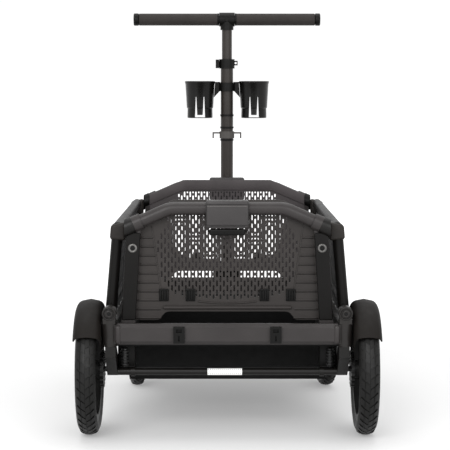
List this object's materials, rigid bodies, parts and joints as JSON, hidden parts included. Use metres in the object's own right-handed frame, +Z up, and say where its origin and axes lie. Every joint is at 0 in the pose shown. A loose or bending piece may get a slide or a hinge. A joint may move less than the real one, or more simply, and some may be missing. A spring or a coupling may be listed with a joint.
{
  "type": "pet wagon stroller",
  "caption": "Four-wheel folding pet stroller with an open cabin, perforated end walls and an upright T-handle mast with cup holders.",
  "frame": {"origin": "middle of the footprint on the ground", "axes": "+Z up, +Y towards the handle mast (the swivelling front wheels), +X to the right seen from behind"},
  "size_m": [0.642, 0.9995, 0.938],
  "materials": {
    "frame_paint": "satin powder coat",
    "crossbar_paint": "satin powder coat",
    "mast_paint": "satin powder coat",
    "dark_steel": "blackened",
    "guard_plastic": "moulded, fine grain",
    "panel_plastic": "moulded, fine grain",
    "black_plastic": "moulded",
    "rim_plastic": "moulded",
    "tyre_rubber": "ribbed tread",
    "side_fabric": "woven polyester",
    "grip_foam": "fine grained"
  },
  "bodies": {
    "chassis": {"rear_crossbar": "crossbar_paint", "front_crossbar": "crossbar_paint", "rear_corners": "frame_paint", "front_corners": "frame_paint", "lower_rails": "frame_paint", "rear_legs": "frame_paint", "rear_axle": "dark_steel", "floor_deck": "black_plastic", "footwell_tub": "black_plastic", "crossbar_clips": "black_plastic", "wall_hinges": "dark_steel", "side_hinge_bolts": "dark_steel", "left_mudguard": "guard_plastic", "right_mudguard": "guard_plastic", "handle_bracket": "frame_paint", "caster_housings": "black_plastic"},
    "brake_bar": {"brake_bar": "crossbar_paint"},
    "left_brake_pin": {"left_brake_pin": "dark_steel"},
    "right_brake_pin": {"right_brake_pin": "dark_steel"},
    "left_rear_wheel": {"left_rear_tyre": "tyre_rubber", "left_rear_rim": "rim_plastic", "left_brake_rotor": "dark_steel"},
    "right_rear_wheel": {"right_rear_tyre": "tyre_rubber", "right_rear_rim": "rim_plastic", "right_brake_rotor": "dark_steel"},
    "left_caster": {"left_caster_fork": "black_plastic", "left_caster_axle": "dark_steel"},
    "right_caster": {"right_caster_fork": "black_plastic", "right_caster_axle": "dark_steel"},
    "left_front_wheel": {"left_front_tyre": "tyre_rubber", "left_front_rim": "rim_plastic"},
    "right_front_wheel": {"right_front_tyre": "tyre_rubber", "right_front_rim": "rim_plastic"},
    "rear_wall": {"rear_wall_frame": "crossbar_paint", "rear_wall_panel": "panel_plastic", "rear_latch_box": "black_plastic"},
    "rear_latch": {"rear_latch_lever": "black_plastic"},
    "front_wall": {"front_wall_frame": "crossbar_paint", "front_wall_panel": "panel_plastic", "front_latch_box": "black_plastic"},
    "front_latch": {"front_latch_lever": "black_plastic"},
    "left_side": {"left_side_frame": "frame_paint", "left_corner_caps": "guard_plastic", "left_side_panel": "side_fabric"},
    "right_side": {"right_side_frame": "frame_paint", "right_corner_caps": "guard_plastic", "right_side_panel": "side_fabric"},
    "mast": {"mast_tube": "mast_paint", "mast_pads": "black_plastic", "clamp_collar": "black_plastic", "left_cup": "black_plastic", "right_cup": "black_plastic", "cup_carrier": "black_plastic"},
    "handle": {"inner_tube": "mast_paint", "handle_hub": "black_plastic", "handle_bar": "mast_paint", "handle_grips": "grip_foam"},
    "hub_button": {"hub_button": "black_plastic"},
    "clamp_lever": {"clamp_lever": "black_plastic"},
    "release_slider": {"release_slider": "black_plastic"}
  },
  "joints": [
    {"name": "rear_wall_fold", "type": "hinge", "parent": "chassis", "child": "rear_wall", "pos_m": [0, -0.402, 0.224], "axis": [-1, 0, 0], "range_deg": [0, 90]},
    {"name": "front_wall_fold", "type": "hinge", "parent": "chassis", "child": "front_wall", "pos_m": [0, 0.402, 0.224], "axis": [1, 0, 0], "range_deg": [0, 90]},
    {"name": "left_side_fold", "type": "hinge", "parent": "chassis", "child": "left_side", "pos_m": [-0.247, 0, 0.27], "axis": [0, 1, 0], "range_deg": [0, 85]},
    {"name": "right_side_fold", "type": "hinge", "parent": "chassis", "child": "right_side", "pos_m": [0.247, 0, 0.27], "axis": [0, -1, 0], "range_deg": [0, 85]},
    {"name": "handle_tilt", "type": "hinge", "parent": "chassis", "child": "mast", "pos_m": [0, 0.465, 0.215], "axis": [-1, 0, 0], "range_deg": [0, 75]},
    {"name": "handle_telescope", "type": "slide", "parent": "mast", "child": "handle", "axis": [0, 0, 1], "range_m": [-0.065, 0.15]},
    {"name": "clamp_open", "type": "hinge", "parent": "mast", "child": "clamp_lever", "pos_m": [-0.0248, 0.479, 0.805], "axis": [0, 0, -1], "range_deg": [0, 110]},
    {"name": "button_press", "type": "slide", "parent": "handle", "child": "hub_button", "axis": [0, 1, 0], "range_m": [0, 0.003], "stiffness_N_per_m": 300},
    {"name": "release_lift", "type": "slide", "parent": "mast", "child": "release_slider", "axis": [0, 0, 1], "range_m": [0, 0.007], "stiffness_N_per_m": 300},
    {"name": "rear_latch_squeeze", "type": "hinge", "parent": "rear_wall", "child": "rear_latch", "pos_m": [0, -0.423, 0.442], "axis": [-1, 0, 0], "range_deg": [0, 25], "stiffness_Nm_per_rad": 0.4},
    {"name": "front_latch_squeeze", "type": "hinge", "parent": "front_wall", "child": "front_latch", "pos_m": [0, 0.423, 0.442], "axis": [1, 0, 0], "range_deg": [0, 25], "stiffness_Nm_per_rad": 0.4},
    {"name": "brake_press", "type": "hinge", "parent": "chassis", "child": "brake_bar", "pos_m": [0, -0.355, 0.14], "axis": [1, 0, 0], "range_deg": [0, 15]},
    {"name": "left_pin_slide", "type": "slide", "parent": "chassis", "child": "left_brake_pin", "axis": [-1, 0, 0], "range_m": [0, 0.0076]},
    {"name": "right_pin_slide", "type": "slide", "parent": "chassis", "child": "right_brake_pin", "axis": [1, 0, 0], "range_m": [0, 0.0076]},
    {"name": "left_rear_spin", "type": "hinge", "parent": "chassis", "child": "left_rear_wheel", "pos_m": [-0.2945, -0.355, 0.14], "axis": [1, 0, 0], "continuous": true},
    {"name": "right_rear_spin", "type": "hinge", "parent": "chassis", "child": "right_rear_wheel", "pos_m": [0.2945, -0.355, 0.14], "axis": [1, 0, 0], "continuous": true},
    {"name": "left_caster_swivel", "type": "hinge", "parent": "chassis", "child": "left_caster", "pos_m": [-0.236, 0.285, 0.18], "axis": [0, 0, 1], "continuous": true},
    {"name": "right_caster_swivel", "type": "hinge", "parent": "chassis", "child": "right_caster", "pos_m": [0.236, 0.285, 0.18], "axis": [0, 0, 1], "continuous": true},
    {"name": "left_front_spin", "type": "hinge", "parent": "left_caster", "child": "left_front_wheel", "pos_m": [-0.22646, 0.23592, 0.082], "axis": [0.9816, 0.1908, 0], "continuous": true},
    {"name": "right_front_spin", "type": "hinge", "parent": "right_caster", "child": "right_front_wheel", "pos_m": [0.24554, 0.23592, 0.082], "axis": [0.9816, 0.1908, 0], "continuous": true}
  ],
  "couplings": [
    {"joint": "left_pin_slide", "follows": "brake_press", "m_per_rad": 0.028648},
    {"joint": "right_pin_slide", "follows": "brake_press", "m_per_rad": 0.028648}
  ]
}
